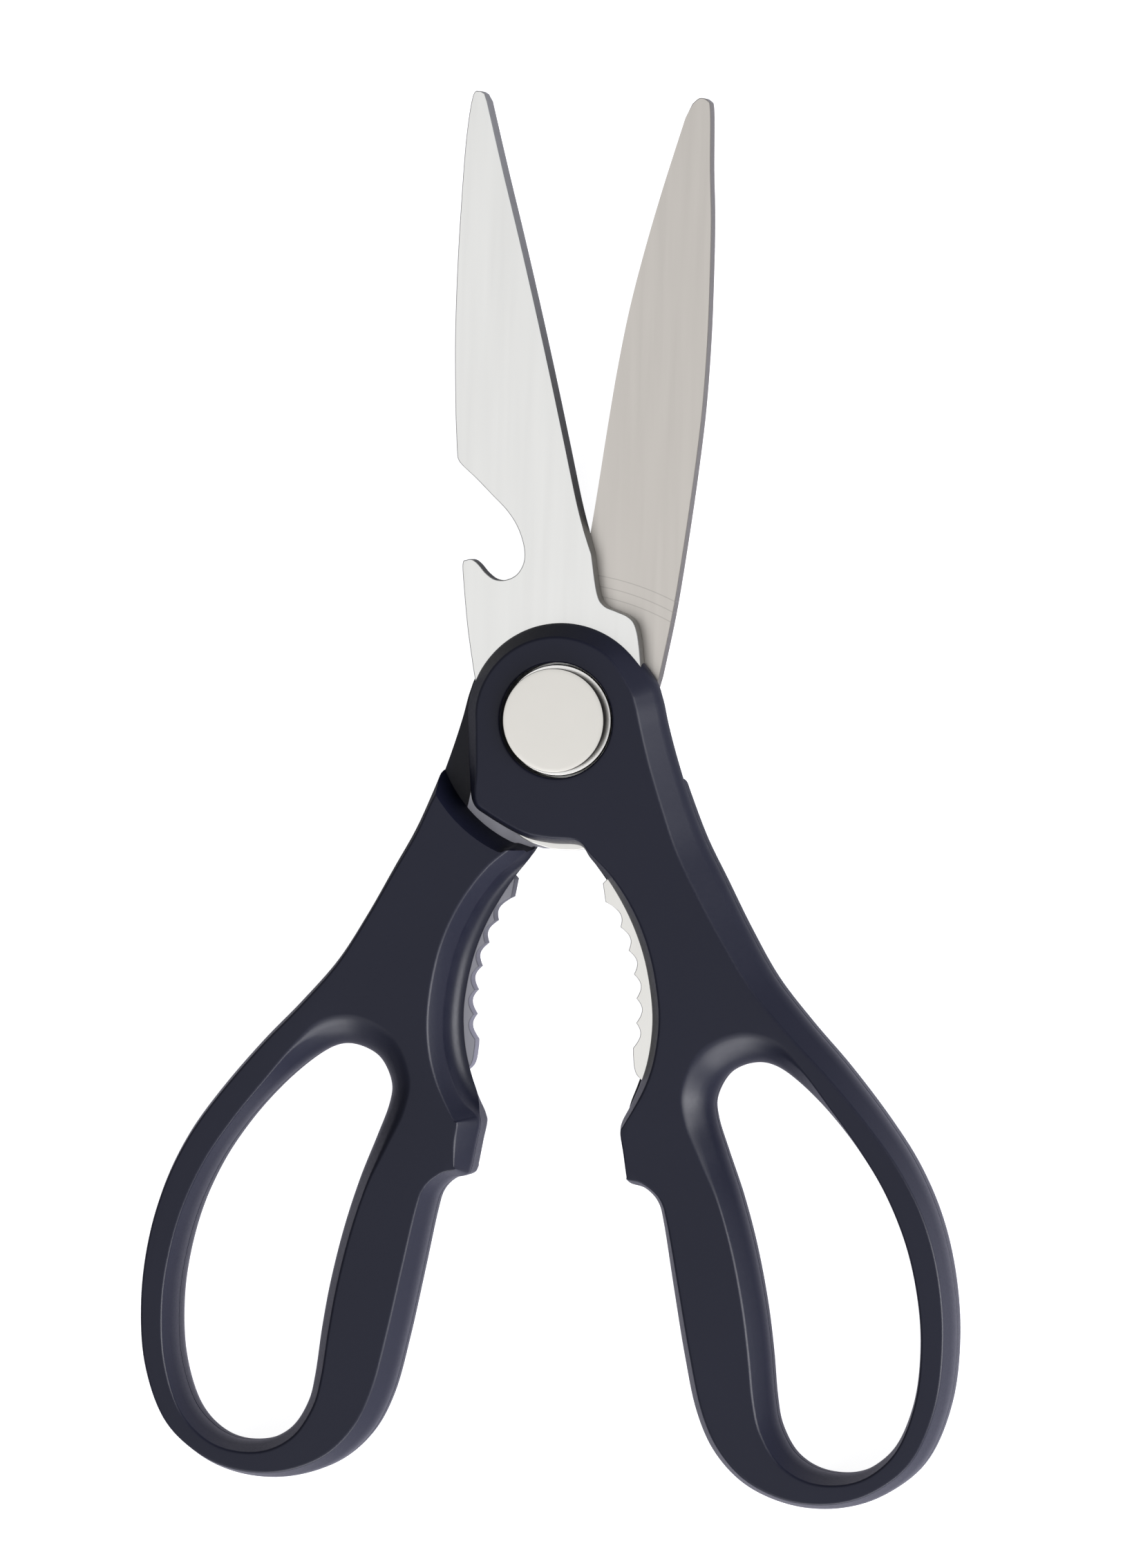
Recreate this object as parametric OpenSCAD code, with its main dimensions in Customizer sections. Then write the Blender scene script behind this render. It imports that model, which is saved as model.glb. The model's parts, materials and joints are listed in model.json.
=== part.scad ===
// Poultry shears lying flat on the backs of their handles, blades towards +Y.
// The origin is on the pivot axis, in the plane the shears rest on.
// Each half is drawn as if the shears were closed, then swung out by half the opening.
// The rear half is the front half's handle turned over about the Y axis.

/* [Pose] */
// Angle between the two halves, from fully closed
opening = 20; // [0:1:80]

/* [Blades] */
// Thickness of each steel blade
blade_t = 2.5; // [2.2:0.1:2.7]
// Running gap between the two blades
blade_gap = 0.1; // [0.06:0.02:0.16]
// Plan width of the ground cutting edge
edge_w = 0.3; // [0.1:0.05:0.5]
// Height of the flat left at the foot of the ground edge
edge_land = 0.3; // [0.1:0.1:1]

/* [Handles] */
// Thickness of the handles
handle_t = 12; // [11.6:0.2:13]
// Height of the bevel around each face of a handle
bevel_h = 3.8; // [3:0.1:4.2]
// Radius cleared round the pivot for the other half's boss, at the blade
recess_r = 19.5; // [19.2:0.1:19.8]
// How much that radius grows towards the face of the handle
recess_draft = 1.4; // [0.5:0.1:2]

/* [Jaws] */
// Number of scallops along each nutcracker jaw
scallops = 6; // [3:1:6]
// Depth of a scallop
scallop_depth = 0.8; // [0.4:0.1:1.1]

/* [Pivot] */
// Radius of the bolt's shank
shank_r = 4; // [3.5:0.1:4.5]
// Radial clearance of the front blade on the shank
shank_fit = 0.05; // [0.02:0.01:0.08]
// Radius of the round well in each boss
well_r = 8.35; // [8.3:0.05:9]
// Radius of the bolt's flange and of the nut
flange_r = 8.05; // [7.8:0.05:8.1]
// Radius of the polished cap
cap_r = 7.5; // [7:0.1:7.6]
// How far the cap stands above the handle
cap_rise = 1.5; // [1:0.1:2]

/* [Hidden] */
$fn = 96;

mid_z = handle_t / 2;
steel_z = mid_z + blade_gap / 2;
well_z = steel_z + blade_t;
rear_fit = 0.02;
boss_r = 14.3;
boss_bevel = 2.3;
outline_steps = 3;
curve_steps = 4;

// Outer outline of a handle below its boss, seen from its front, going clockwise.
// Each point holds x, y, the bevel's width on the front face and on the back face.
HANDLE = [
    [14.1, 4.2, 2.9, 2.9], [14.9, 1.0, 2.9, 2.9], [15.2, -3, 2.9, 2.9], [15.8, -8, 3.0, 3.0],
    [16.8, -14, 3.1, 1.4], [18.2, -20, 3.4, 1.2], [20.2, -26, 3.5, 1.1], [22.7, -33.5, 3.2, 1.0],
    [25.7, -41, 2.9, 1.0], [29.8, -48, 2.6, 1.0], [34.4, -55, 2.3, 1.0], [39, -63, 1.9, 1.0],
    [42.5, -70.5, 1.5, 1.0], [44.7, -78.5, 1.1, 1.0], [45.4, -87, 0.9, 0.9],
    [44.7, -96, 0.9, 0.9], [42.3, -105, 0.9, 0.9], [37.8, -112.6, 1.0, 1.0], [31.6, -116.6, 1.0, 1.0],
    [25, -117.9, 1.0, 1.0], [18, -116.8, 1.1, 1.1], [11.6, -113.3, 1.4, 1.4], [7.4, -108, 1.7, 1.7],
    [5.4, -101.5, 1.8, 1.8], [4.8, -93, 1.8, 1.8], [4.6, -83, 1.7, 1.7], [4.5, -74, 1.5, 1.5],
    [4.1, -70.8, 1.4, 1.4], [2.6, -68.7, 1.1, 1.2], [0.5, -67.6, 0.9, 1.2], [0.1, -66.4, 0.9, 1.6],
    [0.1, -63, 0.9, 2.2], [0.1, -60, 0.9, 2.4], [0.6, -58.5, 1.2, 2.8], [1.9, -56.6, 1.4, 3.0],
    [3.7, -53.8, 1.7, 3.2], [5.2, -50.8, 1.9, 3.3], [6.3, -47.5, 2.0, 3.3], [7.0, -44, 2.1, 3.2],
    [7.2, -40, 2.1, 3.2], [7.0, -36, 2.1, 3.2], [6.3, -32, 2.1, 3.1], [5.1, -28, 2.0, 2.9],
    [3.4, -24, 1.7, 2.5], [1.3, -20.5, 1.3, 1.8], [0.1, -18.5, 1.1, 1.1]];
// Left corner of the boss, where its lower edge meets its side, closing the outline
BOSS_CORNER = [[-8, -16.1, 1.1, 1.1], [-13, -12.4, 1.2, 1.2], [-15, -10, 1.5, 1.5],
    [-14.9, -5.5, 2.1, 2.1]];
// Centre of the outline's curve at the foot of the boss
BOSS_FOOT = [[-4, -17.6, 1.1, 1.1]];
// Outline of the finger hole, going clockwise, with the same four values
HOLE = [
    [20.5, -52.8, 4.0, 4.0], [23.7, -53.5, 3.4, 3.4], [27, -56.2, 2.4, 2.4], [31, -61.2, 1.3, 1.3],
    [34.7, -67.3, 0.9, 0.9], [37.6, -74, 0.9, 0.9], [39.5, -81.5, 0.9, 0.9], [40.1, -89, 0.9, 0.9],
    [39.6, -96, 0.9, 0.9], [37.8, -103.2, 0.9, 0.9], [34.5, -109.2, 1.0, 1.0], [30.6, -112.2, 1.1, 1.1],
    [26.5, -113.1, 1.2, 1.2], [22, -112, 1.5, 1.5], [18.8, -109.3, 1.7, 1.7], [17.2, -105.2, 1.9, 1.9],
    [17.0, -101, 2.1, 2.1], [17.4, -94, 2.2, 2.2], [17.5, -87, 2.2, 2.2], [17.1, -79, 2.2, 2.2],
    [16.2, -71.5, 2.3, 2.3], [15, -65, 2.7, 2.7], [14.2, -60, 3.1, 3.1], [14.6, -56.8, 3.5, 3.5],
    [17, -53.8, 4.0, 4.0]];

// Cutting edge of each blade from the ricasso to the tip
FRONT_EDGE = [[7.5, 26.5], [7.0, 31], [6.4, 40], [5.7, 50], [4.9, 60], [4.0, 70], [3.0, 80], [2.1, 90]];
REAR_EDGE = [[1.9, 27], [2.1, 33], [2.5, 42], [2.8, 51], [2.8, 60], [2.3, 69], [1.5, 78], [0.3, 88.5]];
// Rounded tip, then the spine down to the boss
FRONT_SPINE = [[1.7, 91.1], [0.9, 91.6], [-0.2, 91], [-2, 85.3], [-4, 76.6], [-6, 67],
    [-7.8, 57], [-9.2, 47], [-9.9, 40.4]];
REAR_SPINE = [[-0.3, 90.7], [-1.2, 91.7], [-2.4, 91.6], [-3.2, 90.2], [-4.9, 82], [-6.5, 75], [-8, 67],
    [-9.5, 58], [-10.8, 48], [-11.6, 38], [-12.2, 27], [-12.5, 18], [-12.4, 9]];
// Bottle opener: the slanted shoulder, the round throat and the hook
OPENER = [[-9.9, 39.5], [-9.4, 38.5], [-7.6, 36.3], [-5.6, 33.6], [-3.7, 31], [-2.5, 28.4], [-2, 25.6],
    [-2.3, 23.4], [-3.5, 21.8], [-5.2, 21.2], [-6.9, 21.5], [-8.1, 22.6], [-9, 24], [-9.8, 24.8],
    [-10.7, 24.9], [-11.4, 24.4]];
FRONT_SIDE = [[-11.7, 21], [-12, 15], [-12, 9]];
// Shoulder beside the boss, from inside the handle to the foot of the cutting edge
FRONT_SHOULDER = [[12.6, 3], [13, 9], [12.8, 12], [11.9, 13.4], [10.3, 14.4], [8.6, 15.5],
    [7.9, 17.5], [7.9, 23]];
REAR_SHOULDER = [[12.6, 3], [13, 9], [12.8, 12], [11.9, 13.4], [10.3, 14.4], [8, 16], [5, 19], [2.6, 23]];
// Tang inside the handle, from the left of the pivot round to its right
TANG_CROTCH = [[-11.8, 2], [-11.6, -5], [-9.5, -14.5], [-5, -17.9], [-1, -18.9], [0.9, -19.1],
    [2.4, -20.9], [3.9, -23.3]];
TANG_END = [[3.6, -49.2], [3.7, -52.2], [6, -54.2], [9.5, -55], [12.5, -52.5], [14.5, -47],
    [14.9, -39], [14, -30], [12.6, -22], [11.9, -15], [12, -7]];
// Holes in the tang that the handle's plastic fills, as x, y and radius
TANG_HOLES = [[8.2, -22.5, 2], [11.4, -42, 2.2]];
// The jaw's scallops lie on a shallow arc: its deepest point, its curvature and its ends
jaw_mid = [5.4, -38.5];
jaw_bend = 0.0172;
jaw_top = -27.3;
jaw_end = -48.3;
jaw_lip = [2.7, -24.2];

// Pivot stack, from the front blade outwards
washer_t = 0.6;
spring_t = 0.5;
spring_rise = 0.3;
washer_z = well_z + 0.05;
spring_z = washer_z + washer_t;
flange_z = spring_z + spring_t + spring_rise;
flange_top = handle_t - 0.9;
cap_top = handle_t + cap_rise;
cap_wall = 0.6;
cap_round = 0.5;
rear_well_z = mid_z - blade_gap / 2 - blade_t;
rear_washer_t = 0.6;
head_r = cap_r - cap_wall;
head_top = cap_top - 1.5 * cap_wall;
stud_r = 3.2;
stud_fit = 0.05;
stud_end = 0.9;
spanner_hole_r = 0.9;
spanner_pitch = 10.4;
spanner_depth = 1.2;

// Point on a Catmull-Rom curve between b and c
function bend(a, b, c, d, t) = 0.5 * (2 * b + (c - a) * t + (2 * a - 5 * b + 4 * c - d) * t * t
    + (3 * b - 3 * c + d - a) * t * t * t);

// Smooth closed curve through the points of a list
function closed_curve(p, steps) = [for (i = [0:len(p) - 1], k = [0:steps - 1])
    bend(p[(i + len(p) - 1) % len(p)], p[i], p[(i + 1) % len(p)], p[(i + 2) % len(p)], k / steps)];

// Smooth open curve through the points of a list
function open_curve(p, steps) = [for (i = [0:len(p) - 2], k = [0:steps - 1])
    bend(p[max(i - 1, 0)], p[i], p[i + 1], p[min(i + 2, len(p) - 1)], k / steps), p[len(p) - 1]];

// Points of a clockwise outline moved inwards by share times their bevel width
function inset(p, bevel, share) = [for (i = [0:len(p) - 1])
    let (run = xy(p[(i + 1) % len(p)]) - xy(p[(i + len(p) - 1) % len(p)]),
        side = [run.y, -run.x] / norm(run))
    xy(p[i]) + side * p[i][bevel] * share];

function xy(v) = [v.x, v.y];

// The whole outline of a handle: the round of the boss, then the handle, then back under the boss
function handle_outline() = concat(
    [for (a = [180:-20:40]) [boss_r * cos(a), boss_r * sin(a), boss_bevel, boss_bevel]],
    HANDLE, BOSS_FOOT, BOSS_CORNER);

// Solid between smooth outlines: widest in the middle and bevelled towards both faces.
// way is 1 for a body that narrows towards its faces and -1 for a hole that flares, and over is
// how far the solid runs past both faces. It is drawn one unit thick, then stretched.
module bevelled(points, way, over) {
    thick = handle_t + 2 * over;
    foot = (bevel_h + over) / thick;
    heights = [0, foot, 1 - foot, 1];
    edge = way * (1 + over / bevel_h);
    shares = [edge, 0, 0, edge];
    bevels = [3, 3, 2, 2];
    rings = [for (r = [0:3]) closed_curve(inset(points, bevels[r], shares[r]), outline_steps)];
    n = len(rings[0]);
    walls = [for (r = [0:2], i = [0:n - 1], half = [0:1])
        half == 0 ? [r * n + i, (r + 1) * n + (i + 1) % n, (r + 1) * n + i]
            : [r * n + i, r * n + (i + 1) % n, (r + 1) * n + (i + 1) % n]];
    translate([0, 0, -over]) resize([0, 0, thick]) polyhedron(
        points = [for (r = [0:3], v = rings[r]) [v.x, v.y, heights[r]]],
        faces = concat([[for (i = [n - 1:-1:0]) i]], walls, [[for (i = [0:n - 1]) 3 * n + i]]));
}

// Left edge of the tang along the jaw: a lip, then the scallops
function jaw_edge() = concat([jaw_lip, [jaw_lip.x, jaw_top + 0.4]],
    [for (k = [0:scallops * 8])
        let (y = jaw_top + (jaw_end - jaw_top) * k / (scallops * 8))
        [jaw_mid.x - jaw_bend * pow(y - jaw_mid.y, 2) + scallop_depth * abs(sin(k * 22.5)), y]]);

// Flat outline of a steel half: shoulder, cutting edge, tip, spine, tang and jaw
module steel_outline(shoulder, edge, spine) {
    difference() {
        polygon(concat(open_curve(shoulder, curve_steps), open_curve(edge, curve_steps),
            open_curve(spine, curve_steps), open_curve(TANG_CROTCH, curve_steps), jaw_edge(),
            open_curve(TANG_END, curve_steps)));
        for (h = TANG_HOLES) translate(xy(h)) circle(r = h[2]);
    }
}

// Wedge that grinds the outer face of a blade away along the line from a to b
module edge_grind(a, b) {
    run = norm(b - a);
    translate([a.x, a.y, 0])
        rotate([0, 0, atan2(b.y - a.y, b.x - a.x)])
            translate([-0.2, 0, 0])
                rotate([90, 0, 90])
                    linear_extrude(run + 0.4)
                        polygon([[0, steel_z + edge_land], [edge_w, well_z + 0.2],
                            [-2, well_z + 0.2], [-2, steel_z + edge_land]]);
}

// One steel half in the closed position, with its bore for the pivot
module steel(shoulder, edge, spine, bore_r) {
    difference() {
        translate([0, 0, steel_z]) linear_extrude(blade_t) steel_outline(shoulder, edge, spine);
        translate([0, 0, steel_z - 1]) cylinder(h = blade_t + 2, r = bore_r);
        for (i = [0:len(edge) - 2]) edge_grind(edge[i], edge[i + 1]);
    }
}

module front_steel() {
    steel(FRONT_SHOULDER, FRONT_EDGE, concat(FRONT_SPINE, OPENER, FRONT_SIDE), shank_r + shank_fit);
}

module rear_steel() {
    steel(REAR_SHOULDER, REAR_EDGE, REAR_SPINE, shank_r + rear_fit);
}

// Plastic moulded round a tang: boss over the blade, finger loop, well for the pivot and a
// round recess on the other side that clears the other half's boss
module handle() {
    difference() {
        bevelled(handle_outline(), 1, 0);
        bevelled(HOLE, -1, 0.4);
        translate([0, 0, well_z]) cylinder(h = mid_z, r = well_r);
        translate([0, 0, mid_z - 1]) cylinder(h = blade_t + 2, r = shank_r + 1);
        translate([0, 0, -1]) cylinder(h = steel_z + 1, r1 = recess_r + recess_draft, r2 = recess_r);
        children();
    }
}

// Turns a half drawn as the front one over to the rear, blades still towards +Y
module turned_over() {
    translate([0, 0, handle_t]) rotate([0, 180, 0]) children();
}

module front_blade() {
    color("gainsboro") rotate([0, 0, opening / 2]) front_steel();
}

module rear_blade() {
    color("silver") rotate([0, 0, -opening / 2]) turned_over() rear_steel();
}

module front_handle() {
    color("darkslateblue") rotate([0, 0, opening / 2]) handle() front_steel();
}

module rear_handle() {
    color("darkslategray") rotate([0, 0, -opening / 2]) turned_over() handle() rear_steel();
}

// Shoulder bolt: shank through both blades, wide flange, round head under the cap and a
// stud for the nut
module pivot_bolt() {
    color("lightgray") rotate_extrude() polygon([
        [0, stud_end + stud_fit], [stud_r - stud_fit, stud_end + stud_fit],
        [stud_r - stud_fit, rear_well_z], [shank_r, rear_well_z], [shank_r, flange_z],
        [flange_r, flange_z], [flange_r, flange_top], [head_r, flange_top], [head_r, head_top],
        [0, head_top]]);
}

// Polished cap pressed over the bolt's head
module pivot_cap() {
    color("whitesmoke") rotate_extrude() polygon([
        [0, head_top], [head_r, head_top], [head_r, flange_top], [cap_r, flange_top],
        [cap_r, cap_top - cap_round], [cap_r - 0.3 * cap_round, cap_top - 0.3 * cap_round],
        [cap_r - cap_round, cap_top], [0, cap_top]]);
}

// Flat washer with a round bore, seated at height z
module flat_washer(z, t, outer_r, inner_r) {
    translate([0, 0, z]) difference() {
        cylinder(h = t, r = outer_r);
        translate([0, 0, -1]) cylinder(h = t + 2, r = inner_r);
    }
}

module thrust_washer() {
    color("ivory") flat_washer(washer_z, washer_t, flange_r - 0.25, shank_r + 0.1);
}

// Cone spring that keeps the blades pressed together
module spring_washer() {
    color("slategray") rotate_extrude() polygon([
        [shank_r + 0.1, spring_z + spring_rise], [flange_r - 0.4, spring_z],
        [flange_r - 0.4, spring_z + spring_t], [shank_r + 0.1, spring_z + spring_t + spring_rise]]);
}

module rear_washer() {
    color("ivory") flat_washer(rear_well_z - rear_washer_t, rear_washer_t, flange_r - 0.25, stud_r + 0.1);
}

// Closed nut, flush with the back of the shears, with two holes for a pin spanner
module pivot_nut() {
    color("darkgray") difference() {
        cylinder(h = rear_well_z - rear_washer_t, r = flange_r);
        translate([0, 0, stud_end]) cylinder(h = handle_t, r = stud_r);
        for (side = [-1, 1]) translate([side * spanner_pitch / 2, 0, -1])
            cylinder(h = spanner_depth + 1, r = spanner_hole_r);
    }
}

front_blade();
rear_blade();
front_handle();
rear_handle();
pivot_bolt();
pivot_cap();
thrust_washer();
spring_washer();
rear_washer();
pivot_nut();
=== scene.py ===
import json
import math
from collections import Counter

import bpy
import numpy as np
from mathutils import Matrix, Vector
from mathutils.geometry import delaunay_2d_cdt

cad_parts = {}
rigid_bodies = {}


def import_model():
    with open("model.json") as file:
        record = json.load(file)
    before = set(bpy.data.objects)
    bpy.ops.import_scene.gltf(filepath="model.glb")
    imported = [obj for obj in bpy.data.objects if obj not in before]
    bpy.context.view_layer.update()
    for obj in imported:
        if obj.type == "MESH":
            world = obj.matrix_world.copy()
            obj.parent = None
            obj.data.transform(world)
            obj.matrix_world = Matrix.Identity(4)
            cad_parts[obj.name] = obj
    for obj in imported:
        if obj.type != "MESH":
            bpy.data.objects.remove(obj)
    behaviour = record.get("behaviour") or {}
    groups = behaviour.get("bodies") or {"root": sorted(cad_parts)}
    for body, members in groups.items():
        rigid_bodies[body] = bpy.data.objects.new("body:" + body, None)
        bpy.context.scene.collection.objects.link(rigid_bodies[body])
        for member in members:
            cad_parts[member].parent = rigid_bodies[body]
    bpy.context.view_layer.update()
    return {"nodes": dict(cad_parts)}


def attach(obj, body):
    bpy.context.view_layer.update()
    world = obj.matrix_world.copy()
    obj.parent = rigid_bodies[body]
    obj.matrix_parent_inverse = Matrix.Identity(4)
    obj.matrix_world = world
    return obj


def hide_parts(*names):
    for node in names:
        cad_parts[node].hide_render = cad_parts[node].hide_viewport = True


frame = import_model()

# Shapes are drawn in millimetres. Build.mesh turns them into the frame's metres.
MM = 0.001
# Turn of each half from closed to the rest pose
HALF_OPEN = math.radians(10)
# Heights above the back of a handle: its front face, and the two faces of the blade in it
TOP = 12.0
STEEL_LOW = 6.05
STEEL_TOP = 8.55
# Height of the bevel on each face of a handle, and of the groove at the parting line
BEVEL = 3.8
GROOVE = 6.0
# The parting line runs this much lower across the stop pad.
PAD_DROP = 1.6
# Cove behind the jaw: its start, measured from the crease of the bevel and from the back, its
# rise, and how far its lip stands out of the wall
COVE_RUN = 1.5
COVE_LOW = 2.5
COVE_RISE = 3.45
COVE_LIP = 0.6
# Radii of a handle's boss, and of the floor of its recess for the other one's boss
BOSS_R = 14.3
RECESS_R = 19.5
# Where the recess keeps a lip beside the jaw: degrees from straight down, positive to the right,
# and the fade at both ends
LIP_RANGE = (-25, 12)
LIP_FADE = 3
# Room between a handle's plastic and the steel in it
ROOM = 0.05
# Everything is drawn this much inside the outlines, so that no curve leaves the CAD model's box.
SKIN = 0.015
# Points of a closed curve for each of its control points
STEPS = 8

# ---------------------------------------------------------------- shapes, closed front half

# The pivot is at 0, 0. Seen from the front, a handle's outlines run clockwise and the pieces of a
# blade's outline the other way round.
# Outer outline of a handle below its boss, from the right of the boss:
# x, y, bevel width in front, bevel width behind, share of the jaw's cove behind
HANDLE = [
    [14.1, 4.2, 2.9, 2.9, 0], [14.9, 1.0, 2.9, 2.9, 0], [15.2, -3, 2.9, 2.9, 0],
    [15.8, -8, 3.0, 3.0, 0], [16.8, -14, 3.1, 1.4, 0], [18.2, -20, 3.4, 1.2, 0],
    [20.2, -26, 3.5, 1.1, 0], [22.7, -33.5, 3.2, 1.0, 0], [25.7, -41, 2.9, 1.0, 0],
    [29.8, -48, 2.6, 1.0, 0], [34.4, -55, 2.3, 1.0, 0], [39, -63, 1.9, 1.0, 0],
    [42.5, -70.5, 1.5, 1.0, 0], [44.7, -78.5, 1.1, 1.0, 0], [45.4, -87, 0.9, 0.9, 0],
    [44.7, -96, 0.9, 0.9, 0], [42.3, -105, 0.9, 0.9, 0], [37.8, -112.6, 1.0, 1.0, 0],
    [31.6, -116.6, 1.0, 1.0, 0], [25, -117.9, 1.0, 1.0, 0], [18, -116.8, 1.1, 1.1, 0],
    [11.6, -113.3, 1.4, 1.4, 0], [7.4, -108, 1.7, 1.7, 0], [5.4, -101.5, 1.8, 1.8, 0],
    [4.8, -93, 1.8, 1.8, 0], [4.6, -83, 1.7, 1.7, 0], [4.5, -74, 1.5, 1.5, 0],
    [4.1, -70.8, 1.4, 1.4, 0], [2.6, -68.7, 1.1, 1.2, 0], [0.5, -67.6, 0.9, 1.2, 0],
    [0.1, -66.4, 0.9, 1.6, 0], [0.1, -63, 0.9, 2.2, 0], [0.1, -60, 0.9, 2.4, 0],
    [0.6, -58.5, 1.2, 2.8, 0.1], [1.9, -56.6, 1.4, 3.0, 0.7], [3.7, -53.8, 1.7, 3.2, 1],
    [5.2, -50.8, 1.9, 3.3, 1], [6.3, -47.5, 2.0, 3.3, 1], [7.0, -44, 2.1, 3.2, 1],
    [7.2, -40, 2.1, 3.2, 1], [7.0, -36, 2.1, 3.2, 1], [6.3, -32, 2.1, 3.1, 1],
    [5.1, -28, 2.0, 2.9, 1], [3.4, -24, 1.7, 2.5, 0.9], [1.3, -20.5, 1.3, 1.8, 0.5],
    [0.1, -18.5, 1.1, 1.1, 0]]
BOSS_FOOT = [[-4, -17.6, 1.1, 1.1, 0]]
BOSS_CORNER = [
    [-8, -16.1, 1.1, 1.1, 0], [-13, -12.4, 1.2, 1.2, 0], [-15, -10, 1.5, 1.5, 0],
    [-14.9, -5.5, 2.1, 2.1, 0]]
# Finger hole: x, y, bevel width on both faces. The widest bevels become scoops.
HOLE = [
    [20.5, -52.8, 4.0], [23.7, -53.5, 3.4], [27, -56.2, 2.4], [31, -61.2, 1.3],
    [34.7, -67.3, 0.9], [37.6, -74, 0.9], [39.5, -81.5, 0.9], [40.1, -89, 0.9], [39.6, -96, 0.9],
    [37.8, -103.2, 0.9], [34.5, -109.2, 1.0], [30.6, -112.2, 1.1], [26.5, -113.1, 1.2],
    [22, -112, 1.5], [18.8, -109.3, 1.7], [17.2, -105.2, 1.9], [17.0, -101, 2.1],
    [17.4, -94, 2.2], [17.5, -87, 2.2], [17.1, -79, 2.2], [16.2, -71.5, 2.3], [15, -65, 2.7],
    [14.2, -60, 3.1], [14.6, -56.8, 3.5], [17, -53.8, 4.0]]

# Blade outlines in pieces: beside the boss, the cutting edge, the tip with the back of the
# blade, the opener, and the tang down to its jaw and from it back up
FRONT_SHOULDER = [
    [12.6, 3], [13, 9], [12.8, 12], [11.9, 13.4], [10.3, 14.4], [8.6, 15.5], [7.9, 17.5],
    [7.9, 23]]
REAR_SHOULDER = [
    [12.6, 3], [13, 9], [12.8, 12], [11.9, 13.4], [10.3, 14.4], [8, 16], [5, 19], [2.6, 23]]
FRONT_EDGE = [
    [7.5, 26.5], [7.0, 31], [6.4, 40], [5.7, 50], [4.9, 60], [4.0, 70], [3.0, 80], [2.1, 90]]
REAR_EDGE = [
    [1.9, 27], [2.1, 33], [2.5, 42], [2.8, 51], [2.8, 60], [2.3, 69], [1.5, 78], [0.3, 88.5]]
FRONT_SPINE = [
    [1.7, 91.1], [0.9, 91.6], [-0.2, 91], [-2, 85.3], [-4, 76.6], [-6, 67], [-7.8, 57],
    [-9.2, 47], [-9.64, 43.1], [-9.9, 40.4]]
OPENER = [
    [-9.9, 39.5], [-9.4, 38.5], [-7.6, 36.3], [-5.6, 33.6], [-3.7, 31], [-2.5, 28.4], [-2, 25.6],
    [-2.3, 23.4], [-3.5, 21.8], [-5.2, 21.2], [-6.9, 21.5], [-8.1, 22.6], [-9, 24], [-9.8, 24.8],
    [-10.7, 24.9], [-11.4, 24.4], [-11.7, 21], [-12, 15], [-12, 9]]
REAR_SPINE = [
    [-0.3, 90.7], [-1.2, 91.7], [-2.4, 91.6], [-3.2, 90.2], [-4.9, 82], [-6.5, 75], [-8, 67],
    [-9.5, 58], [-10.8, 48], [-11.6, 38], [-12.2, 27], [-12.5, 18], [-12.4, 9]]
TANG_CROTCH = [
    [-11.8, 2], [-11.6, -5], [-9.5, -14.5], [-5, -17.9], [-1, -18.9], [0.9, -19.1], [2.4, -20.9],
    [3.9, -23.3]]
TANG_END = [
    [3.6, -49.2], [3.7, -52.2], [6, -54.2], [9.5, -55], [12.5, -52.5], [14.5, -47], [14.9, -39],
    [14, -30], [12.6, -22], [11.9, -15], [12, -7]]
# Holes in the tang for the plastic's pegs: x, y, radius
TANG_HOLES = [[8.2, -22.5, 2], [11.4, -42, 2.2]]

# Profiles turned about the pivot: radius, height
BOLT = [(0, 0.95), (3.15, 0.95), (3.15, 3.45), (4, 3.45), (4, 10.0), (8.05, 10.0),
        (8.05, 11.1), (6.9, 11.1), (6.9, 12.6), (0, 12.6)]
CAP = [(0, 12.6), (6.9, 12.6), (6.9, 11.1), (7.1, 11.1), (7.1, 12.55), (7.5, 12.65),
       (7.5, 13.42), (6.8, 13.48), (3.5, 13.5), (0, 13.5)]
NUT = [(0, 0), (8.05, 0), (8.05, 2.85), (3.2, 2.85), (3.2, 0.9), (0, 0.9)]
# Cutters: the recess for the other half's boss, and the room round the bolt
RECESS = [(0, -1), (21.0, -1), (20.9, 0), (20.35, 2.4), (20.12, 3.4),
          (RECESS_R, STEEL_LOW + ROOM), (0, STEEL_LOW + ROOM)]
BOLT_BORE = [(0, 5.0), (5.0, 5.0), (5.0, 9.5), (0, 9.5)]
# The two holes in the nut for a pin spanner, and their distance from the pivot
PIN_HOLE = [(0, -1), (1.25, -1), (1.15, 0), (0.9, 0.2), (0.9, 1.2), (0, 1.5)]
PIN_HOLE_AT = 5.2


def bend(a, b, c, d, t):
    """Point between b and c on the smooth curve through a, b, c and d."""
    return 0.5 * (2 * b + (c - a) * t + (2 * a - 5 * b + 4 * c - d) * t * t
                  + (3 * b - 3 * c + d - a) * t ** 3)


def closed_curve(points, steps=STEPS):
    """Smooth closed curve through the rows of points, all columns alike."""
    p = np.asarray(points, float)
    a, c, d = np.roll(p, 1, 0), np.roll(p, -1, 0), np.roll(p, -2, 0)
    return np.stack([bend(a, p, c, d, k / steps) for k in range(steps)], 1).reshape(-1, p.shape[1])


def open_curve(points, steps=6):
    """Smooth curve from the first point to the last."""
    p = np.asarray(points, float)
    n = len(p)
    out = []
    for i in range(n - 1):
        a, d = p[max(i - 1, 0)], p[min(i + 2, n - 1)]
        out += [bend(a, p[i], p[i + 1], d, k / steps) for k in range(steps)]
    return np.array(out + [p[-1]])


def corner_curve(p0, p1, p2, u):
    """Point on the curve that leaves p0 towards p1 and comes in to p2 from it."""
    return tuple((1 - u) ** 2 * a + 2 * u * (1 - u) * b + u * u * c
                 for a, b, c in zip(p0, p1, p2))


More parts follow.
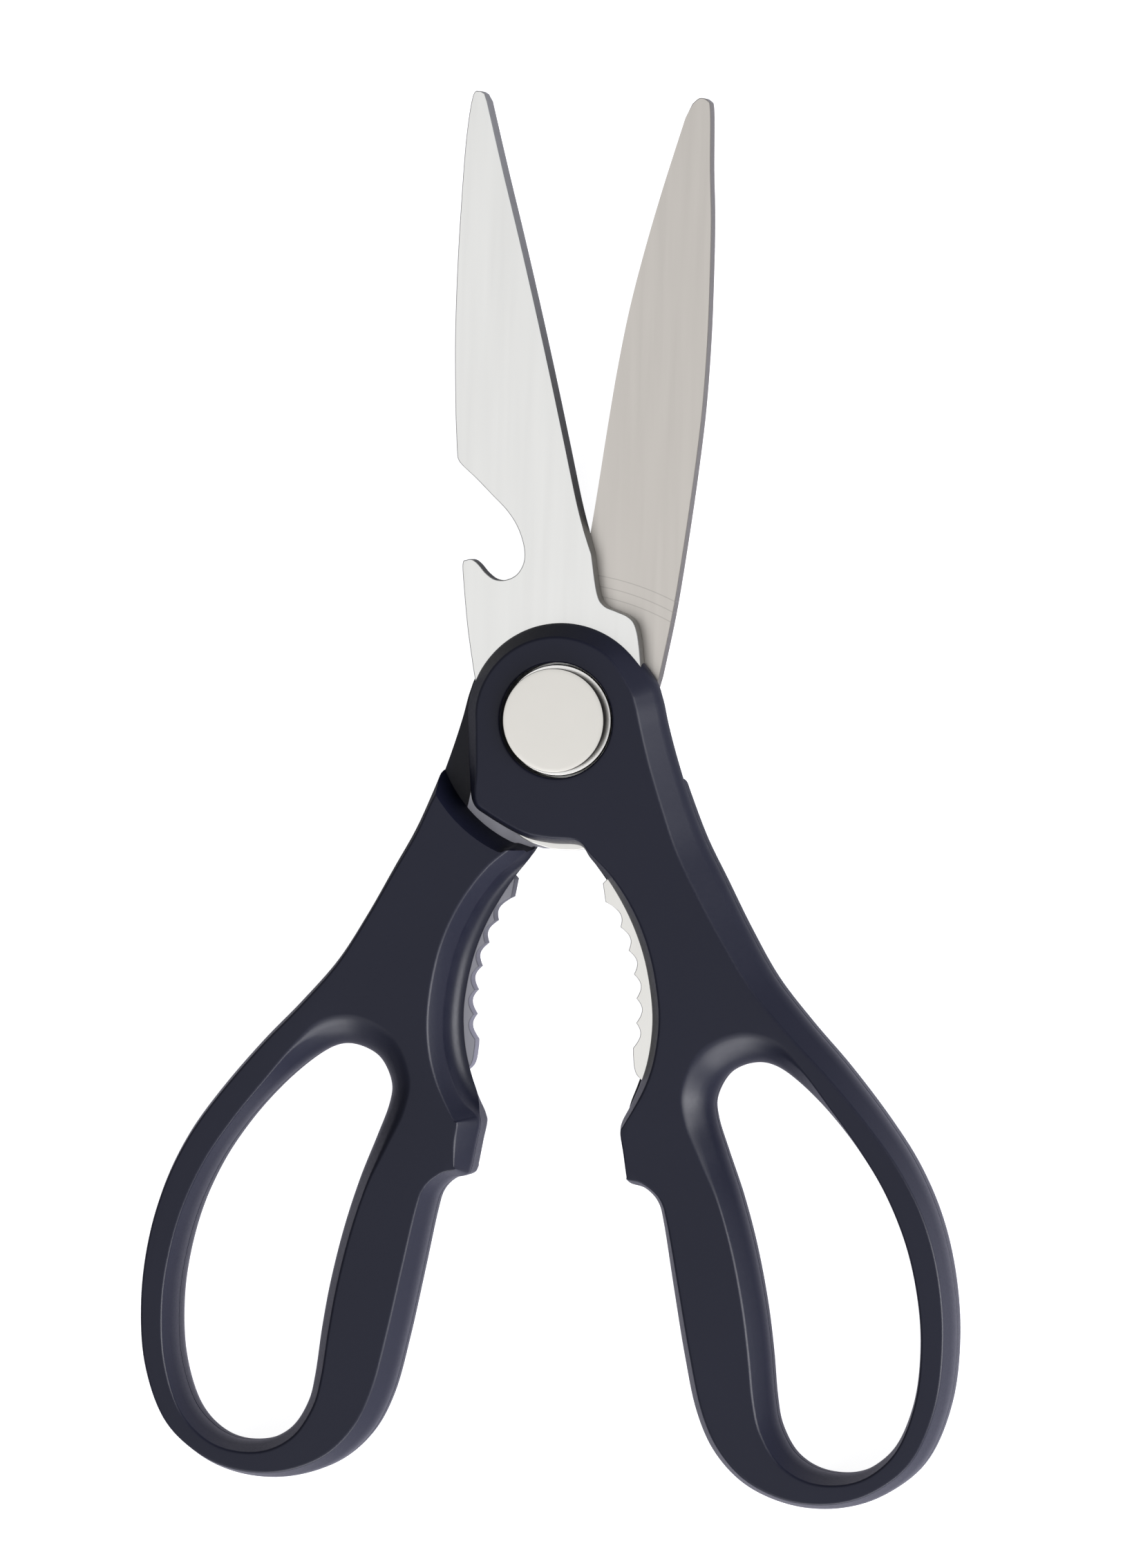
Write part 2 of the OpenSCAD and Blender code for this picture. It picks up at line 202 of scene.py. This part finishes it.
def inward(xy):
    """Unit direction into a clockwise outline at each of its points."""
    run = np.roll(xy, -1, 0) - np.roll(xy, 1, 0)
    return np.stack([run[:, 1], -run[:, 0]], 1) / np.linalg.norm(run, axis=1)[:, None]


def circle(radius, count, centre=(0, 0)):
    """Points of a circle, clockwise."""
    a = -np.arange(count) * 2 * math.pi / count
    return np.stack([centre[0] + radius * np.cos(a), centre[1] + radius * np.sin(a)], 1)


# ---------------------------------------------------------------- meshes

class Build:
    """Collects the rings, walls and flat faces of one solid."""

    def __init__(self):
        self.verts = []
        self.faces = []

    def ring(self, points):
        start = len(self.verts)
        self.verts += [tuple(p) for p in points]
        return list(range(start, start + len(points)))

    def wall(self, a, b):
        """Faces between two rings of the same length, facing out when b is above a clockwise a."""
        n = len(a)
        for i in range(n):
            j = (i + 1) % n
            self.faces.append((a[i], b[i], b[j], a[j]))

    def tube(self, rings):
        """Walls through all the rings. Returns the rings' vertex indexes."""
        indexes = [self.ring(r) for r in rings]
        for low, high in zip(indexes, indexes[1:]):
            self.wall(low, high)
        return indexes

    def cap(self, outer, holes, up):
        """Flat face inside one ring and outside the others."""
        loops = [outer] + holes
        index = [i for loop in loops for i in loop]
        flat = [Vector(self.verts[i][:2]) for i in index]
        edges, first = [], 0
        for loop in loops:
            n = len(loop)
            edges += [(first + i, first + (i + 1) % n) for i in range(n)]
            first += n
        points, _, triangles, sources = delaunay_2d_cdt(flat, edges, [], 0, 1e-6)[:4]
        where = [index[source[0]] for source in sources]
        shapes = [np.array([self.verts[i][:2] for i in loop]) for loop in loops]
        for tri in triangles:
            a, b, c = [Vector(points[i]) for i in tri]
            middle = (a + b + c) / 3
            if not inside(shapes[0], middle) or any(inside(s, middle) for s in shapes[1:]):
                continue
            turn = (b - a).cross(c - a)
            tri = [where[i] for i in tri]
            if abs(turn) > 1e-9:
                self.faces.append(tuple(tri if (turn > 0) == up else tri[::-1]))

    def mesh(self, name):
        mesh = bpy.data.meshes.new(name)
        mesh.from_pydata([tuple(c * MM for c in v) for v in self.verts], [], self.faces)
        mesh.validate()
        return mesh


def inside(shape, point):
    """Whether a point lies inside an outline."""
    x, y = shape[:, 0], shape[:, 1]
    x2, y2 = np.roll(x, -1), np.roll(y, -1)
    span = (y > point[1]) != (y2 > point[1])
    rise = np.where(span, y2 - y, 1)
    return bool(np.sum(span & (point[0] < (x2 - x) * (point[1] - y) / rise + x)) % 2)


def add(mesh):
    obj = bpy.data.objects.new(mesh.name, mesh)
    bpy.context.scene.collection.objects.link(obj)
    return obj


def level(points, z):
    """The points of an outline at one height."""
    return np.column_stack([points[:, :2], np.full(len(points), z)])


def settle(obj):
    """Replaces an object's mesh by the result of its modifiers."""
    graph = bpy.context.evaluated_depsgraph_get()
    mesh = bpy.data.meshes.new_from_object(obj.evaluated_get(graph))
    old = obj.data
    obj.modifiers.clear()
    obj.data = mesh
    bpy.data.meshes.remove(old)
    mesh.name = obj.name


def cut(obj, cutters):
    """Takes the cutters' solids out of an object, and deletes them."""
    for cutter in cutters:
        mod = obj.modifiers.new("cut", "BOOLEAN")
        mod.operation = "DIFFERENCE"
        mod.solver = "MANIFOLD"
        mod.object = cutter
        settle(obj)
    for cutter in cutters:
        bpy.data.objects.remove(cutter)


def shade(obj, angle=32, rims=False):
    """Smooth faces with crisp edges, flat faces kept flat. With rims, also crisp round them."""
    mesh = obj.data
    mesh.shade_smooth()
    mesh.set_sharp_from_angle(angle=math.radians(angle))
    if rims:
        level_faces = Counter(key for face in mesh.polygons if abs(face.normal.z) > 0.999
                              for key in face.edge_keys)
        for edge in mesh.edges:
            if level_faces[edge.key] == 1:
                edge.use_edge_sharp = True
    mod = obj.modifiers.new("normals", "WEIGHTED_NORMAL")
    mod.keep_sharp = True
    mod.weight = 100
    settle(obj)


def place(obj, rear):
    """Turns a half over if it is the rear one, and swings it out to the rest pose."""
    turn = -HALF_OPEN if rear else HALF_OPEN
    c, s = math.cos(turn), math.sin(turn)
    side = -1 if rear else 1
    co = np.zeros(len(obj.data.vertices) * 3)
    obj.data.vertices.foreach_get("co", co)
    co = co.reshape(-1, 3)
    x, y = side * co[:, 0], co[:, 1]
    z = TOP * MM - co[:, 2] if rear else co[:, 2]
    co = np.column_stack([c * x - s * y, s * x + c * y, z])
    obj.data.vertices.foreach_set("co", co.ravel())
    obj.data.update()


def lathe(name, profile, count=160):
    """Solid turned about the pivot axis from a list of (radius, z), from the bottom centre up."""
    b = Build()
    rings = []
    for r, z in profile:
        if r < 1e-6:
            rings.append([len(b.verts)])
            b.verts.append((0, 0, z))
        else:
            rings.append(b.ring(level(circle(r, count), z)))
    for low, high in zip(rings, rings[1:]):
        if len(low) == 1:
            b.faces += [(low[0], high[i], high[(i + 1) % count]) for i in range(count)]
        elif len(high) == 1:
            b.faces += [(low[i], high[0], low[(i + 1) % count]) for i in range(count)]
        else:
            b.wall(low, high)
    return add(b.mesh(name))


def rounded(profile, radius, count=4):
    """Profile with a small arc at each corner that radius has a size for, by the corner's index."""
    out = []
    for i, (r, z) in enumerate(profile):
        e = radius.get(i, 0)
        if not e:
            out.append((r, z))
            continue
        p = np.array([r, z], float)
        a = np.array(profile[i - 1], float) - p
        c = np.array(profile[i + 1], float) - p
        a = p + a / np.linalg.norm(a) * e
        c = p + c / np.linalg.norm(c) * e
        out += [corner_curve(a, p, c, k / count) for k in range(count + 1)]
    return out


# ---------------------------------------------------------------- handles

def edge_profile(width, tight, soft, cove, pad):
    """Offsets and heights of a handle's wall from the flat of the back to the flat of the front,
    at each control point.

    width is the bevels' (front, back). tight is the rounding of their creases, and soft widens it
    into a scoop. cove is the share of the jaw's cove, and pad is 1 on the stop pad.
    """
    front, back = width
    crease = tight + 0.5 * soft
    reach = tight + 2.0 * soft
    one = np.ones_like(front)

    # The rounding of the knee between bevel and wall, along the bevel and along the wall
    along_bevel = 1.3 + 1.2 * soft - 0.8 * pad
    along_wall = 1.3 + 0.4 * soft - 0.8 * pad
    knee = (0 * one, BEVEL * one)

    def crease_rings(w, knee_off, knee_up, count=4):
        """The rounded crease between a flat face and its bevel."""
        run = np.hypot(w - knee_off, knee_up)
        t = np.minimum(reach / run, 0.45 * one)
        corner, end = (w, 0 * one), (w + (knee_off - w) * t, knee_up * t)
        return [corner_curve((w + crease, 0 * one), corner, end, k / count)
                for k in range(count + 1)]

    def knee_rings(w, count=6):
        """The rounded knee between a bevel and the wall."""
        t = along_bevel / np.hypot(w, BEVEL)
        start, end = (w * t, BEVEL * (1 - t)), (0 * one, BEVEL + along_wall)
        return [corner_curve(start, knee, end, k / count) for k in range(count + 1)]

    high = [(off, TOP - z) for off, z in crease_rings(front, *knee) + knee_rings(front)]

    low = crease_rings(back, cove * (back - COVE_RUN), BEVEL * one - (BEVEL - COVE_LOW) * cove)
    plain = knee_rings(back)
    for k, ring in enumerate(plain):
        turn = math.pi / 2 * k / (len(plain) - 1)
        bowl = ((back - COVE_RUN) - (back - COVE_RUN + COVE_LIP) * (1 - math.cos(turn)),
                COVE_LOW + COVE_RISE * math.sin(turn))
        low.append(tuple(p * (1 - cove) + q * cove for p, q in zip(ring, bowl)))
    # The groove at the parting line: depth, height, lip of the cove above
    seam = [(depth - lip * cove, GROOVE + up - PAD_DROP * pad) for depth, up, lip in
            [(0, -0.02, COVE_LIP), (0.08, 0.09, 0), (0.08, 0.17, 0), (0, 0.28, 0)]]
    return low + seam + high[::-1]


def loft(build, control, width, soft, cove, pad, way):
    """Walls of a handle along a closed outline. way is 1 for the outside, -1 for a hole."""
    xy = control[:, :2]
    side = inward(xy) * way
    gap = np.linalg.norm(xy - np.roll(xy, 1, 0), axis=1)
    tight = np.minimum(0.35, 0.12 * np.minimum(gap, np.roll(gap, -1)))
    rings = []
    for off, z in edge_profile(width, tight, soft, cove, pad):
        rings.append(closed_curve(np.column_stack([xy + side * (off[:, None] + SKIN), z])))
    if way < 0:
        rings = [r[::-1] for r in rings]
    return build.tube(rings)


def smooth(t):
    """0 below 0, 1 above 1 and a smooth step between."""
    t = min(max(t, 0), 1)
    return t * t * (3 - 2 * t)


def steel_cutter(outline):
    """Solid in the place of a blade, to cut its pocket into the handle."""
    b = Build()
    low, high = b.tube([level(outline, STEEL_LOW), level(outline, STEEL_TOP)])
    b.cap(low, [], False)
    b.cap(high, [], True)
    return add(b.mesh("cutter"))


def recess_cutter():
    """Cone that clears the other half's boss. Beside the jaw it leaves a lip of plastic, which is
    shallower where the other blade's tang swings past."""
    cone = lathe("cutter", RECESS, 256)
    for v in cone.data.vertices:
        turn = math.degrees(math.atan2(v.co.x, -v.co.y))
        lip = 0.75 if v.co.z < 3 * MM else 0.3
        start, end = LIP_RANGE
        tuck = lip * smooth((end - turn) / LIP_FADE) * smooth((turn - start) / LIP_FADE)
        v.co.xy *= 1 - tuck / RECESS_R
    return cone


def handle(name, outline):
    """Moulding with its boss, finger hole, the bolt's well, the recess and the blade's pocket."""
    boss = [[BOSS_R * math.cos(math.radians(a)), BOSS_R * math.sin(math.radians(a)), 2.3, 2.3, 0]
            for a in range(180, 39, -20)]
    outer = np.array(boss + HANDLE + BOSS_FOOT + BOSS_CORNER, float)
    hole = np.array(HOLE, float)
    b = Build()
    plain = np.zeros(len(outer))
    # The stop pad is the straight part of the inner side below the jaw.
    pad = ((outer[:, 0] < 1) & (outer[:, 1] < -58)).astype(float)
    skin = loft(b, outer, (outer[:, 2], outer[:, 3]), plain, outer[:, 4], pad, 1)
    # Bevels wider than 2.3 mm turn into scoops, fully so from 3.5 mm.
    soft = np.clip((hole[:, 2] - 2.3) / 1.2, 0, 1)
    plain = np.zeros(len(hole))
    bore = loft(b, hole, (hole[:, 2], hole[:, 2]), soft, plain, plain, -1)
    # Round well that shows the bolt's flange, with a rounded rim
    well = [(8.35, STEEL_TOP - ROOM), (9.1, TOP)]
    well[1:1] = [corner_curve((8.35, 11.65), (8.35, TOP), (8.7, TOP), k / 4) for k in range(5)]
    well_rings = b.tube([level(circle(r, 128)[::-1], z) for r, z in well])
    b.cap(skin[-1], [bore[-1], well_rings[-1]], True)
    b.cap(skin[0], [bore[0]], False)
    b.cap(well_rings[0], [], True)
    obj = add(b.mesh(name))
    cut(obj, [lathe("cutter", BOLT_BORE, 96), recess_cutter(), steel_cutter(outline)])
    shade(obj)
    return obj


# ---------------------------------------------------------------- blades

def jaw_edge(scallops=6, per=10):
    """The nutcracker jaw: a lip, then scallops along a shallow arc."""
    points = [[2.7, -24.2], [2.7, -26.9]]
    count = scallops * per
    for k in range(count + 1):
        y = -27.3 - 21.0 * k / count
        arc = 5.4 - 0.0172 * (y + 38.5) ** 2
        points.append([arc + 0.8 * abs(math.sin(math.pi * k / per)), y])
    return np.array(points)


def steel_outline(shoulder, edge, spine):
    """Outline of a whole blade, and 1 where it is the ground cutting edge, else 0."""
    parts = [open_curve(shoulder), open_curve(edge), open_curve(spine), open_curve(TANG_CROTCH),
             jaw_edge(), open_curve(TANG_END)]
    ground = np.concatenate([np.full(len(p), i == 1, float) for i, p in enumerate(parts)])
    return np.concatenate(parts)[::-1], ground[::-1]


def blade(name, outline, ground, bore):
    """Plate with softened edges and a ground cutting edge."""
    b = Build()
    side = inward(outline)
    thick = STEEL_TOP - STEEL_LOW
    rings = []
    # Height, inset of the stamped edge, inset of the cutting edge
    for z, plain, sharp in [(0, 0.12, 0.0), (0.03, 0.04, 0.0), (0.11, 0, 0.0), (0.3, 0, 0.0),
                            (thick - 0.12, 0, 0.28), (thick - 0.04, 0.04, 0.3),
                            (thick, 0.13, 0.33)]:
        off = plain * (1 - ground) + sharp * ground + SKIN
        rings.append(level(outline + side * off[:, None], STEEL_LOW + z))
    skin = b.tube(rings)
    lows, highs = [], []
    chamfer = 0.12
    for x, y, r, count in [(0, 0, bore, 96)] + [(*h, 48) for h in TANG_HOLES]:
        at = [(r + chamfer, 0), (r, chamfer), (r, thick - chamfer), (r + chamfer, thick)]
        ring = b.tube([level(circle(e, count, (x, y))[::-1], STEEL_LOW + z) for e, z in at])
        lows.append(ring[0])
        highs.append(ring[-1])
    b.cap(skin[0], lows, False)
    b.cap(skin[-1], highs, True)
    obj = add(b.mesh(name))
    shade(obj, rims=True)
    return obj


# ---------------------------------------------------------------- materials

# Inputs of a mix node, by number: 0 is the factor, 2 and 3 are values, 6 and 7 are colours.

def material(name, base, rough, metallic=0.0):
    mat = bpy.data.materials.new(name)
    mat.use_nodes = True
    nodes = mat.node_tree.nodes
    shader = nodes["Principled BSDF"]
    shader.inputs["Base Color"].default_value = (*base, 1)
    shader.inputs["Roughness"].default_value = rough
    shader.inputs["Metallic"].default_value = metallic
    return mat, nodes, mat.node_tree.links, shader


def noise(nodes, links, scale, detail, stretch=(1, 1, 1)):
    """Noise in the object's own space."""
    where = nodes.new("ShaderNodeTexCoord")
    mapping = nodes.new("ShaderNodeMapping")
    mapping.inputs["Scale"].default_value = stretch
    tex = nodes.new("ShaderNodeTexNoise")
    tex.inputs["Scale"].default_value = scale
    tex.inputs["Detail"].default_value = detail
    links.new(where.outputs["Object"], mapping.inputs["Vector"])
    links.new(mapping.outputs["Vector"], tex.inputs["Vector"])
    return tex


def spread(nodes, links, source, low, high):
    """A value from 0 to 1 turned into one from low to high."""
    ramp = nodes.new("ShaderNodeMapRange")
    ramp.inputs["To Min"].default_value = low
    ramp.inputs["To Max"].default_value = high
    links.new(source, ramp.inputs["Value"])
    return ramp.outputs["Result"]


def blend_colour(nodes, links, factor, first, second):
    """Mix of two colours, each a constant or the output of a node."""
    mix = nodes.new("ShaderNodeMix")
    mix.data_type = "RGBA"
    links.new(factor, mix.inputs[0])
    for socket, colour in ((mix.inputs[6], first), (mix.inputs[7], second)):
        if isinstance(colour, tuple):
            socket.default_value = (*colour, 1)
        else:
            links.new(colour, socket)
    return mix.outputs[2]


def fade_down(nodes, links, start, end):
    """Smooth rise along -y, from one place in millimetres to another. Returns its node."""
    where = nodes.new("ShaderNodeTexCoord")
    split = nodes.new("ShaderNodeSeparateXYZ")
    links.new(where.outputs["Object"], split.inputs[0])
    fade = nodes.new("ShaderNodeMapRange")
    fade.interpolation_type = "SMOOTHSTEP"
    fade.inputs["From Min"].default_value = start * MM
    fade.inputs["From Max"].default_value = end * MM
    links.new(split.outputs["Y"], fade.inputs["Value"])
    return fade


def by_slope(nodes, links, side, top):
    """One colour on faces that lie flat, another on edges and walls."""
    where = nodes.new("ShaderNodeTexCoord")
    split = nodes.new("ShaderNodeSeparateXYZ")
    links.new(where.outputs["Normal"], split.inputs[0])
    flatness = nodes.new("ShaderNodeMath")
    flatness.operation = "ABSOLUTE"
    links.new(split.outputs["Z"], flatness.inputs[0])
    share = nodes.new("ShaderNodeMapRange")
    share.inputs["From Min"].default_value = 0.75
    share.inputs["From Max"].default_value = 0.97
    links.new(flatness.outputs[0], share.inputs["Value"])
    return blend_colour(nodes, links, share.outputs["Result"], side, top)


def bump(nodes, links, height, distance, shader):
    node = nodes.new("ShaderNodeBump")
    node.inputs["Strength"].default_value = 0.5
    node.inputs["Distance"].default_value = distance
    links.new(height, node.inputs["Height"])
    links.new(node.outputs["Normal"], shader.inputs["Normal"])


def arc_marks(nodes, links, colour, mark, centre, radii):
    """A colour with thin arcs of another one over it. The centre and radii are in millimetres."""
    where = nodes.new("ShaderNodeTexCoord")
    shift = nodes.new("ShaderNodeVectorMath")
    shift.operation = "SUBTRACT"
    shift.inputs[1].default_value = (centre[0] * MM, centre[1] * MM, 0)
    links.new(where.outputs["Object"], shift.inputs[0])
    flatten = nodes.new("ShaderNodeVectorMath")
    flatten.operation = "MULTIPLY"
    flatten.inputs[1].default_value = (1, 1, 0)
    links.new(shift.outputs[0], flatten.inputs[0])
    span = nodes.new("ShaderNodeVectorMath")
    span.operation = "LENGTH"
    links.new(flatten.outputs[0], span.inputs[0])
    for radius in radii:
        near = nodes.new("ShaderNodeMath")
        near.operation = "COMPARE"
        near.inputs[1].default_value = radius * MM
        near.inputs[2].default_value = 0.07 * MM
        links.new(span.outputs["Value"], near.inputs[0])
        share = spread(nodes, links, near.outputs[0], 0, 0.7)
        colour = blend_colour(nodes, links, share, colour, mark)
    return colour


def plastic():
    """Dark blue-grey moulded plastic with a fine satin texture."""
    mat, nodes, links, shader = material("handle_plastic", (0.012, 0.012, 0.019), 0.42)
    shader.inputs["Specular IOR Level"].default_value = 1.0
    shader.inputs["IOR"].default_value = 1.22
    cloud = noise(nodes, links, 60, 3)
    fine = noise(nodes, links, 2600, 2)
    links.new(blend_colour(nodes, links, cloud.outputs[0], (0.0030, 0.0036, 0.0098),
                           (0.0040, 0.0047, 0.0118)), shader.inputs["Base Color"])
    links.new(spread(nodes, links, fine.outputs[0], 0.34, 0.48), shader.inputs["Roughness"])
    bump(nodes, links, fine.outputs[0], 0.012 * MM, shader)
    return mat


def ground_steel(name, base, rough, edge_dull_and_shade, tang, arcs=()):
    """Satin steel with faint grinding lines along the blade.

    The stamped edges and walls are darker than the ground faces by a share, partly for their duller
    finish and partly as painted shade. Below the pivot the tang gets its own darker colour, painted
    shade of the deep recess and the jaw.
    arcs are the radii of marks that the grinding wheel left beside the pivot.
    """
    mat, nodes, links, shader = material(name, base, rough, 1.0)
    grain = noise(nodes, links, 900, 4, (1, 0.04, 1))
    cloud = noise(nodes, links, 45, 2)
    dim = tuple(c * 0.965 for c in base)
    # Darker walls and edges: partly the duller stamped finish, partly painted shade
    edge = tuple(c * edge_dull_and_shade for c in base)
    mark = tuple(c * 0.72 for c in base)
    flat = blend_colour(nodes, links, cloud.outputs[0], dim, base)
    colour = by_slope(nodes, links, edge, flat)
    # Below the pivot the colour fades to the tang's darker one: painted shade of the recess and the
    # jaw
    tang_shade_mask = fade_down(nodes, links, -7, -13)
    colour = blend_colour(nodes, links, tang_shade_mask.outputs["Result"], colour, tang)
    if arcs:
        colour = arc_marks(nodes, links, colour, mark, (-1.26, -18.66), arcs)
    links.new(colour, shader.inputs["Base Color"])
    links.new(spread(nodes, links, grain.outputs[0], rough - 0.07, rough + 0.07),
              shader.inputs["Roughness"])
    bump(nodes, links, grain.outputs[0], 0.004 * MM, shader)
    return mat


def plain_metal(name, base, rough, side=None, vary=0.25):
    """Metal whose roughness varies by a share. Its walls can get a darker colour, painted shade."""
    mat, nodes, links, shader = material(name, base, rough, 1.0)
    fine = noise(nodes, links, 700, 3)
    links.new(spread(nodes, links, fine.outputs[0], rough * (1 - vary), rough * (1 + vary)),
              shader.inputs["Roughness"])
    # The walls' darker colour is painted shade.
    if side:
        links.new(by_slope(nodes, links, side, base), shader.inputs["Base Color"])
    return mat


def nylon():
    """Off-white plastic of the washers."""
    mat, nodes, links, shader = material("bearing_plastic", (0.78, 0.76, 0.70), 0.5)
    fine = noise(nodes, links, 900, 2)
    links.new(spread(nodes, links, fine.outputs[0], 0.42, 0.6), shader.inputs["Roughness"])
    return mat


# ---------------------------------------------------------------- the shears

front_outline, front_ground = steel_outline(FRONT_SHOULDER, FRONT_EDGE, FRONT_SPINE + OPENER)
rear_outline, rear_ground = steel_outline(REAR_SHOULDER, REAR_EDGE, REAR_SPINE)

finish = {
    "handle_plastic": plastic(),
    "front_blade_steel": ground_steel(
        "front_blade_steel", (0.905, 0.905, 0.89), 0.36, edge_dull_and_shade=0.5, tang=(0.86, 0.85, 0.82)),
    # The rear tang's dark blue-grey is painted shade of the deep recess and the jaw.
    "rear_blade_steel": ground_steel(
        "rear_blade_steel", (0.69, 0.655, 0.615), 0.40, edge_dull_and_shade=0.6, tang=(0.30, 0.30, 0.34),
        arcs=(40.0, 38.5, 37.1)),
    "bolt_steel": plain_metal("bolt_steel", (0.93, 0.92, 0.90), 0.25),
    # The cap's near-black walls are painted shade: a dark ring round its face.
    "polished_steel": plain_metal(
        "polished_steel", (0.82, 0.80, 0.757), 0.36, side=(0.07, 0.06, 0.057), vary=0.06),
    "bearing_plastic": nylon(),
    "spring_steel": plain_metal("spring_steel", (0.42, 0.42, 0.44), 0.3),
}


def dress(obj, slot_name):
    """Gives an object the finish of its slot."""
    obj.data.materials.clear()
    obj.data.materials.append(finish[slot_name])


def show(obj, node, body, slot_name):
    """Puts an object on its body in place of a CAD node."""
    dress(obj, slot_name)
    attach(obj, body)
    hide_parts(node)


for half, outline, ground, bore in [("front", front_outline, front_ground, 4.05),
                                    ("rear", rear_outline, rear_ground, 4.02)]:
    grip = handle(half + "_handle_look", outline)
    steel = blade(half + "_blade_look", outline, ground, bore)
    for obj in (grip, steel):
        place(obj, half == "rear")
    show(grip, half + "_handle", half + "_half", "handle_plastic")
    show(steel, half + "_blade", half + "_half", half + "_blade_steel")

bolt = lathe("pivot_bolt_look", rounded(BOLT, {5: 0.15, 6: 0.2}))
shade(bolt)
show(bolt, "pivot_bolt", "rear_half", "bolt_steel")

cap = lathe("pivot_cap_look", rounded(CAP, {6: 0.12}, 6))
shade(cap, 40)
show(cap, "pivot_cap", "rear_half", "polished_steel")

nut = lathe("pivot_nut_look", rounded(NUT, {1: 0.3, 2: 0.1}))
drills = []
for side in (-1, 1):
    drill = lathe("cutter", PIN_HOLE, 40)
    drill.data.transform(Matrix.Translation((side * PIN_HOLE_AT * MM, 0, 0)))
    drills.append(drill)
cut(nut, drills)
shade(nut)
show(nut, "pivot_nut", "rear_half", "bolt_steel")

# The washers are hidden in the pivot and keep their CAD shapes.
for node, slot_name in [("thrust_washer", "bearing_plastic"), ("spring_washer", "spring_steel"),
                        ("rear_washer", "bearing_plastic")]:
    dress(frame["nodes"][node], slot_name)

# ---------------------------------------------------------------- floor, light, camera

FLOOR_HALF = 3000
# A little below the shears, so that no two faces coincide
FLOOR_Z = -0.05

sheet = Build()
sheet.faces.append(tuple(sheet.ring([(x * FLOOR_HALF, y * FLOOR_HALF, FLOOR_Z)
                                     for x, y in [(-1, -1), (1, -1), (1, 1), (-1, 1)]])))
floor = add(sheet.mesh("floor"))

# The camera sees the floor as white paper. The shears get the light of a grey one, with a slight
# violet glow round the finger loops, which mirror it in their walls.
mat, nodes, links, shader = material("floor", (0.30, 0.30, 0.33), 0.9)
ray = nodes.new("ShaderNodeLightPath")
seen = ray.outputs["Is Camera Ray"]
links.new(blend_colour(nodes, links, seen, (0.84, 0.82, 1.0), (1, 1, 1)),
          shader.inputs["Emission Color"])
glow = fade_down(nodes, links, -20, -55)
glow.inputs["To Max"].default_value = 0.5
strength = nodes.new("ShaderNodeMix")
strength.inputs[3].default_value = 0.92
links.new(seen, strength.inputs[0])
links.new(glow.outputs["Result"], strength.inputs[2])
links.new(strength.outputs[0], shader.inputs["Emission Strength"])
floor.data.materials.append(mat)


def lamp(name, at, size, power, tint=(1, 1, 1)):
    """Rectangular lamp at a place in metres, turned to the pivot."""
    light = bpy.data.lights.new(name, "AREA")
    light.shape = "RECTANGLE"
    light.size, light.size_y = size
    light.energy = power
    light.color = tint
    obj = bpy.data.objects.new(name, light)
    bpy.context.scene.collection.objects.link(obj)
    obj.location = at
    obj.rotation_euler = (-Vector(at)).to_track_quat("-Z", "Y").to_euler()
    return obj


# The "right" and "low" lamps light only the plastic and the floor, so that the flat steel doesn't
# glare when it is seen from the side.
moulded = bpy.data.collections.new("moulded")
for obj in [o for o in bpy.context.scene.objects if "handle_look" in o.name] + [floor]:
    moulded.objects.link(obj)
lamp("overhead", (-0.36, -0.05, 1.5), (1.6, 1.4), 4.9)
right_lamp = lamp("right", (1.3, -0.1, 0.45), (0.8, 1.8), 66, (0.97, 0.97, 1))
lamp("fill", (-0.35, -0.95, 1.0), (1.0, 0.9), 5)
lamp("glow", (0.9, -0.9, 0.45), (1.6, 0.8), 2)
low_lamp = lamp("low", (0.3, -1.4, 0.4), (1.8, 0.7), 38, (0.97, 0.97, 1))
for obj in (right_lamp, low_lamp):
    obj.light_linking.receiver_collection = moulded

world = bpy.data.worlds.new("studio")
world.use_nodes = True
background = world.node_tree.nodes["Background"]
background.inputs["Color"].default_value = (1, 1, 1, 1)
background.inputs["Strength"].default_value = 0.25
bpy.context.scene.world = world
bpy.context.scene.view_settings.view_transform = "Standard"

# The camera as solved from the photo: angles in radians, the place it looks at and its distance
# from there in millimetres
AZIMUTH, TILT, ROLL = 0.24541, 0.036576, 0.029892
TARGET = Vector((0.339, -9.325, 6.0))
DISTANCE = 1346.64

away = Vector((math.sin(AZIMUTH) * math.cos(TILT), math.sin(TILT),
               math.cos(AZIMUTH) * math.cos(TILT)))
right = Vector((0, 1, 0)).cross(away).normalized()
up = away.cross(right)
across = math.cos(ROLL) * right + math.sin(ROLL) * up
upright = -math.sin(ROLL) * right + math.cos(ROLL) * up
camera = bpy.data.objects.new("camera", bpy.data.cameras.new("camera"))
bpy.context.scene.collection.objects.link(camera)
pose = np.eye(4)
pose[:3, 0], pose[:3, 1], pose[:3, 2] = across, upright, away
pose[:3, 3] = (TARGET + away * DISTANCE) * MM
camera.matrix_world = Matrix(pose.tolist())
camera.data.lens = 295.96
camera.data.sensor_width = 36
camera.data.sensor_fit = "HORIZONTAL"
camera.data.clip_end = 20
bpy.context.scene.camera = camera
